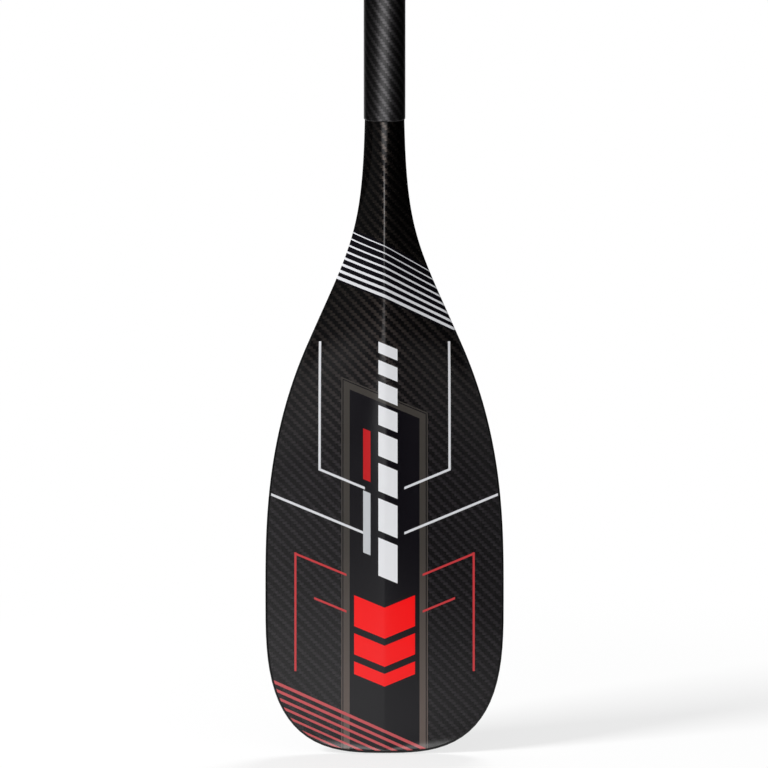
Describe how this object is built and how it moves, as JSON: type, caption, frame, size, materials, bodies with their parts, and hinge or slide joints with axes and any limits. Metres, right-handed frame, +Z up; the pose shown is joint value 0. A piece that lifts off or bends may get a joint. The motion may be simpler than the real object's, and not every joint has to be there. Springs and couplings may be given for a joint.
{
  "type": "adjustable stand-up paddle",
  "caption": "Adjustable stand-up paddle: raked teardrop carbon blade with foam core and edge rail, sliding keyed upper shaft with palm grip, and a cam-lever clamp collar.",
  "frame": {"origin": "on the shaft's axis at the lower shaft's lower end, where the blade's neck starts", "axes": "+Z up along the shaft to the grip, +X across the blade, and -Y the way the blade leans and its ridged face looks"},
  "size_m": [0.1692, 0.1011, 1.8003],
  "materials": {
    "blade_front": "gloss",
    "blade_back": "gloss",
    "blade_foam": "matte",
    "edge_rail": "satin",
    "tenon_carbon": "satin",
    "shaft_twill": "satin",
    "upper_carbon": "satin",
    "plug_foam": "matte",
    "collar_alloy": "satin",
    "lever_alloy": "satin",
    "nut_alloy": "satin",
    "acetal": "satin",
    "screw_steel": "satin",
    "bolt_steel": "satin",
    "washer_steel": "satin",
    "plug_nylon": "matte",
    "rubber": "matte",
    "grip_shell": "satin",
    "shrink_sleeve": "matte"
  },
  "bodies": {
    "lower": {"blade_front_skin": "blade_front", "blade_back_skin": "blade_back", "blade_core": "blade_foam", "blade_edge_rail": "edge_rail", "neck_tenon": "tenon_carbon", "lower_shaft": "shaft_twill", "shaft_float_plug": "plug_foam", "clamp_collar": "collar_alloy", "collar_bush": "acetal", "collar_lock_screw": "screw_steel", "cam_saddle": "acetal"},
    "upper": {"upper_shaft": "upper_carbon", "upper_end_plug": "plug_nylon", "plug_o_ring": "rubber", "palm_grip": "grip_shell", "grip_tenon": "plug_nylon", "grip_joint_sleeve": "shrink_sleeve"},
    "bolt": {"draw_bolt": "bolt_steel", "barrel_pin": "bolt_steel"},
    "lever": {"clamp_lever": "lever_alloy"},
    "washer": {"nut_washer": "washer_steel"},
    "nut": {"tension_nut": "nut_alloy"}
  },
  "joints": [
    {"name": "length_slide", "type": "slide", "parent": "lower", "child": "upper", "axis": [0, 0, 1], "range_m": [-0.08, 0.32]},
    {"name": "lever_open", "type": "hinge", "parent": "bolt", "child": "lever", "pos_m": [-0.0201, 0.0245, 0.933], "axis": [0, 0, -1], "range_deg": [0, 150]},
    {"name": "bolt_draw", "type": "slide", "parent": "lower", "child": "bolt", "axis": [1, 0, 0], "range_m": [0, 0.00131]},
    {"name": "nut_travel", "type": "slide", "parent": "bolt", "child": "washer", "axis": [1, 0, 0], "range_m": [0, 0.0024]},
    {"name": "nut_turn", "type": "hinge", "parent": "washer", "child": "nut", "pos_m": [0.0156, 0.0245, 0.933], "axis": [1, 0, 0], "range_deg": [0, 1080]}
  ],
  "couplings": [
    {"joint": "lever_open", "follows": "bolt_draw", "rad_per_m": 2000},
    {"joint": "nut_turn", "follows": "nut_travel", "rad_per_m": 7854}
  ]
}
